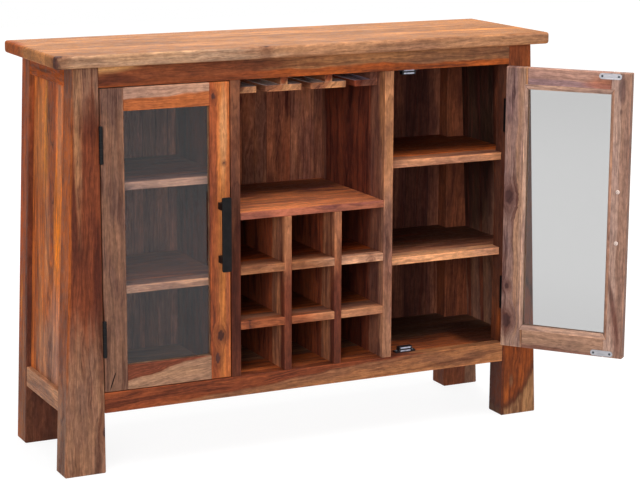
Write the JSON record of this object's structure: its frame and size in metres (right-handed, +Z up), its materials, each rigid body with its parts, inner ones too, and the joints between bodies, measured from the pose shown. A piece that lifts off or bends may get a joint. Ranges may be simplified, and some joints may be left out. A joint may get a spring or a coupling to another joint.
{
  "type": "bar cabinet",
  "caption": "Free-standing wooden bar cabinet with glazed doors, side shelves, a bottle grid and a stemware rack on tapered legs.",
  "frame": {"origin": "on the floor, at the bottom centre of the box round the whole object with the right door open; the middle plane of the case is at x = -0.0521 m and the middle of its depth at y = 0.12448 m", "axes": "+Z up, +X along the width towards the open door's side, +Y towards the back, so the front faces -Y"},
  "size_m": [1.2992, 0.5894, 0.9143],
  "materials": {
    "top": "light oiled rosewood-type timber, satin, warm tan with long grain",
    "leg": "oiled rosewood-type timber, satin, grey-brown to red-brown with dark streaks",
    "rail": "oiled rosewood-type timber, satin, mid brown",
    "panel": "oiled rosewood-type timber, satin, vivid orange-brown with dark streaks",
    "inside": "dark stained timber, dull",
    "edge": "oiled timber, satin, pinkish brown front edges",
    "door": "oiled rosewood-type timber, satin, orange to grey-brown",
    "bead": "oiled timber strip, satin",
    "glass": "clear float glass, polished",
    "iron": "black powder-coated iron, matt",
    "plate": "zinc-plated steel, satin",
    "catch": "dark moulded plastic with a magnet inside, matt"
  },
  "bodies": {
    "carcass": {"back_boards": "inside", "bottle_shelf_lower": "edge", "bottle_shelf_upper": "edge", "bottle_upright_left": "edge", "bottle_upright_right": "edge", "catch_left_bottom": "catch", "catch_left_top": "catch", "catch_right_bottom": "catch", "catch_right_top": "catch", "centre_shelf": "edge", "divider_left": "edge", "divider_right": "edge", "floor_board": "inside", "front_rail_bottom": "rail", "front_rail_top": "rail", "glass_rail_half_left": "inside", "glass_rail_half_right": "inside", "glass_rail_tee_left": "inside", "glass_rail_tee_right": "inside", "hinge_left_lower_frame_leaf": "iron", "hinge_left_upper_frame_leaf": "iron", "hinge_right_lower_frame_leaf": "iron", "hinge_right_upper_frame_leaf": "iron", "leg_front_left": "leg", "leg_front_right": "leg", "leg_rear_left": "leg", "leg_rear_right": "leg", "shelf_left_lower": "edge", "shelf_left_upper": "edge", "shelf_right_lower": "edge", "shelf_right_upper": "edge", "side_panel_left": "panel", "side_panel_right": "panel", "side_rail_bottom_left": "rail", "side_rail_bottom_right": "rail", "side_rail_top_left": "rail", "side_rail_top_right": "rail", "top_board": "top"},
    "door_left": {"door_left_glass": "glass", "door_left_glazing_bead": "bead", "door_left_handle": "iron", "door_left_rail_bottom": "door", "door_left_rail_top": "door", "door_left_stile_free": "door", "door_left_stile_hinge": "door", "hinge_left_lower_door_leaf": "iron", "hinge_left_upper_door_leaf": "iron", "strike_left_bottom": "plate", "strike_left_top": "plate"},
    "door_right": {"door_right_glass": "glass", "door_right_glazing_bead": "bead", "door_right_handle": "iron", "door_right_rail_bottom": "door", "door_right_rail_top": "door", "door_right_stile_free": "door", "door_right_stile_hinge": "door", "hinge_right_lower_door_leaf": "iron", "hinge_right_upper_door_leaf": "iron", "strike_right_bottom": "plate", "strike_right_top": "plate"}
  },
  "joints": [
    {"name": "door_left_hinge", "type": "hinge", "parent": "carcass", "child": "door_left", "pos_m": [-0.5509, -0.04877, 0.182], "axis": [0, 0, -1], "range_deg": [0, 170]},
    {"name": "door_right_hinge", "type": "hinge", "parent": "carcass", "child": "door_right", "pos_m": [0.4467, -0.04877, 0.182], "axis": [0, 0, 1], "range_deg": [-129, 41]}
  ]
}
